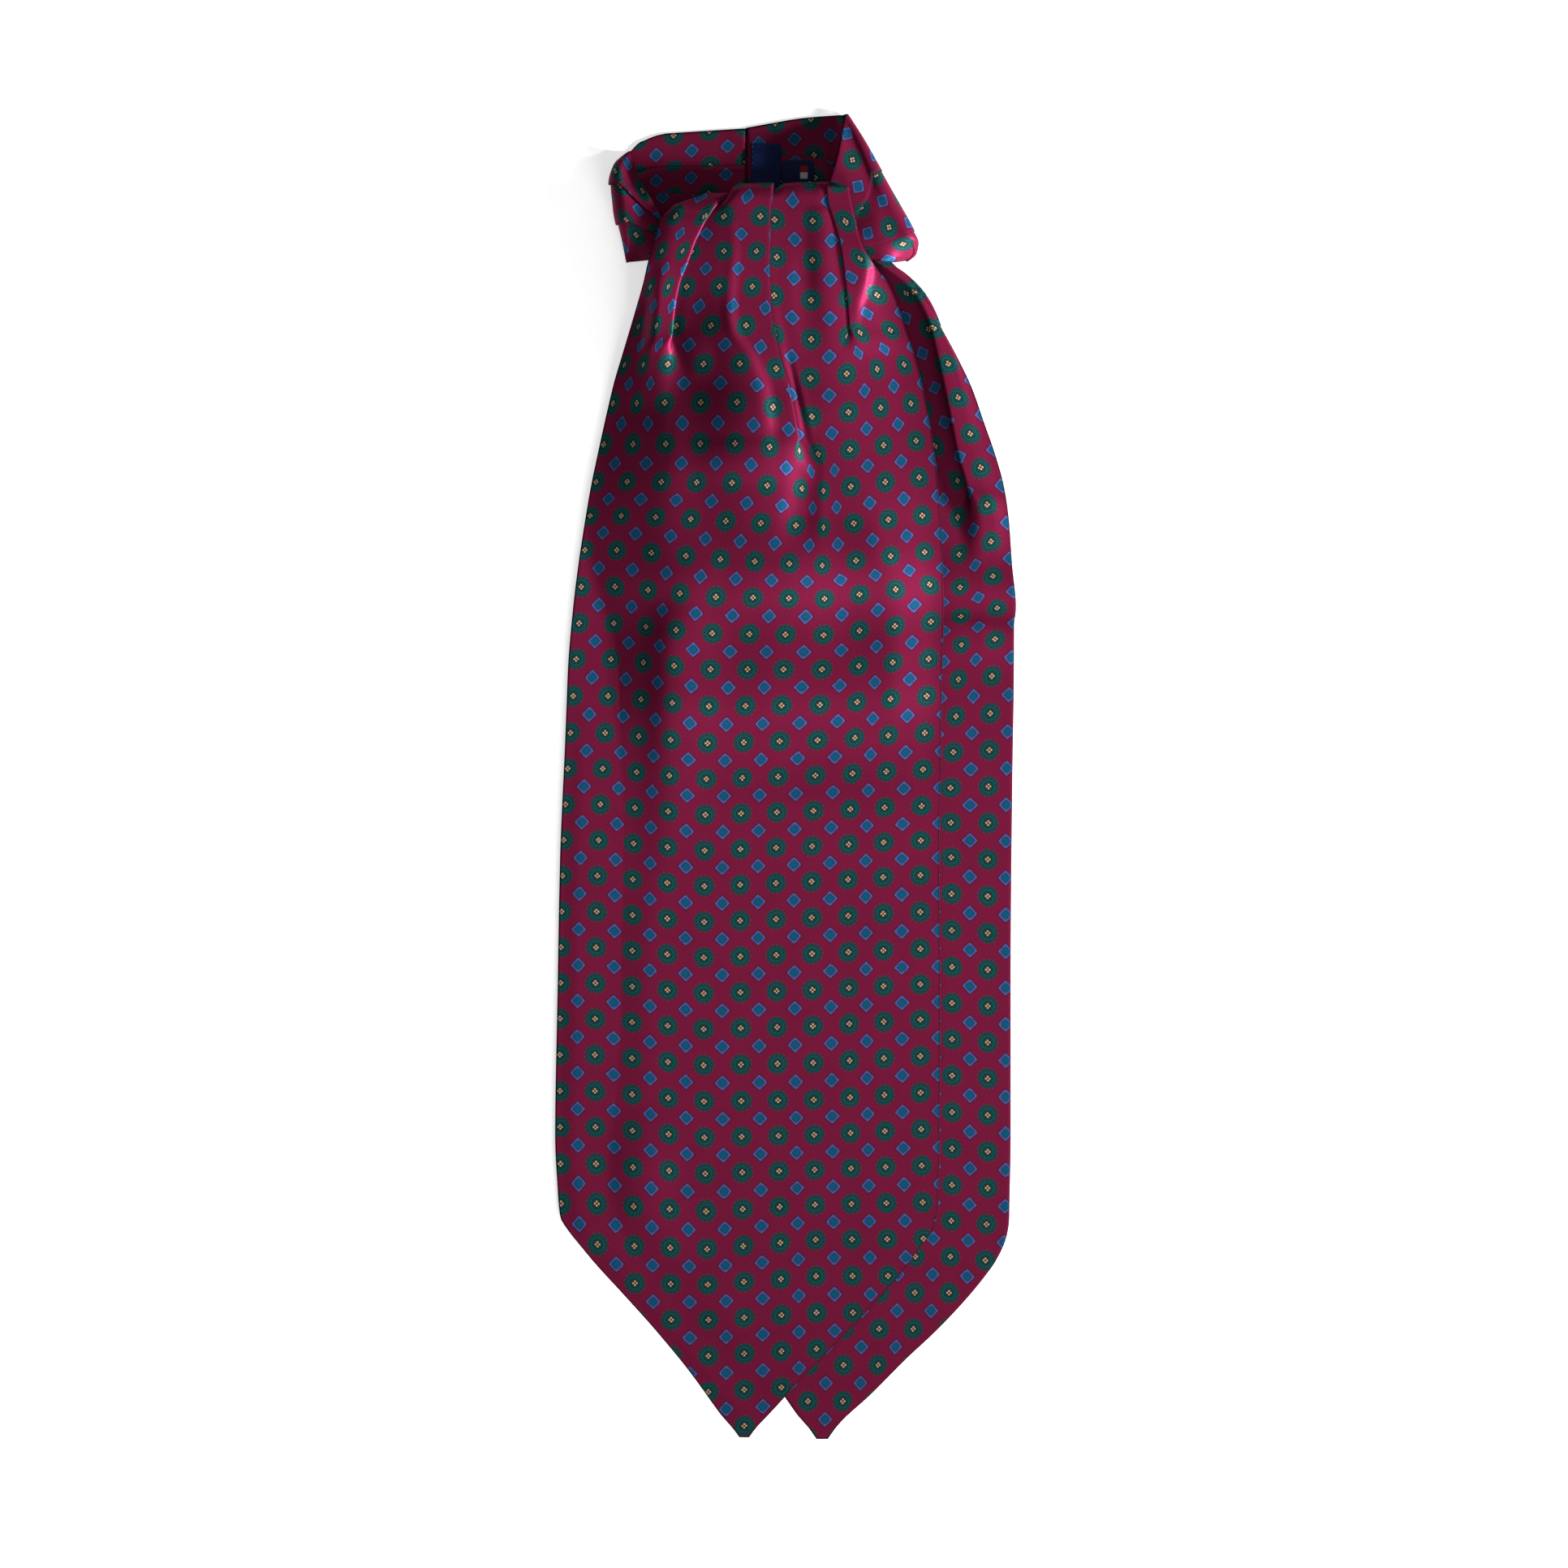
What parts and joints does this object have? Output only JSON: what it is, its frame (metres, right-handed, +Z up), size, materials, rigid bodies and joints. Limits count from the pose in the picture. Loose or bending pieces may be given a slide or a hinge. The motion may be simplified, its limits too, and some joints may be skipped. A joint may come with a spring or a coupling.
{
  "type": "silk cravat",
  "caption": "Silk cravat for a shirt neck, tied once over and laid flat, with pleated neckband and wide pointed blades.",
  "frame": {"origin": "middle of the footprint's bounding box, on the surface that the cravat lies on", "axes": "+Y along the blades towards the neck loop, +Z up from the surface, +X to the right seen from above"},
  "size_m": [0.1922, 0.5523, 0.0161],
  "materials": {
    "silk": "satin twill, burgundy with a small foulard pattern in teal, blue and cream",
    "label": "woven navy tape, matt"
  },
  "bodies": {
    "root": {"front_blade": "silk", "rear_blade": "silk", "neckband_back_left": "silk", "neckband_back_right": "silk", "neckband_front_left": "silk", "neckband_front_right": "silk", "knot_core": "silk", "label_main": "label", "label_care": "label"}
  },
  "joints": []
}
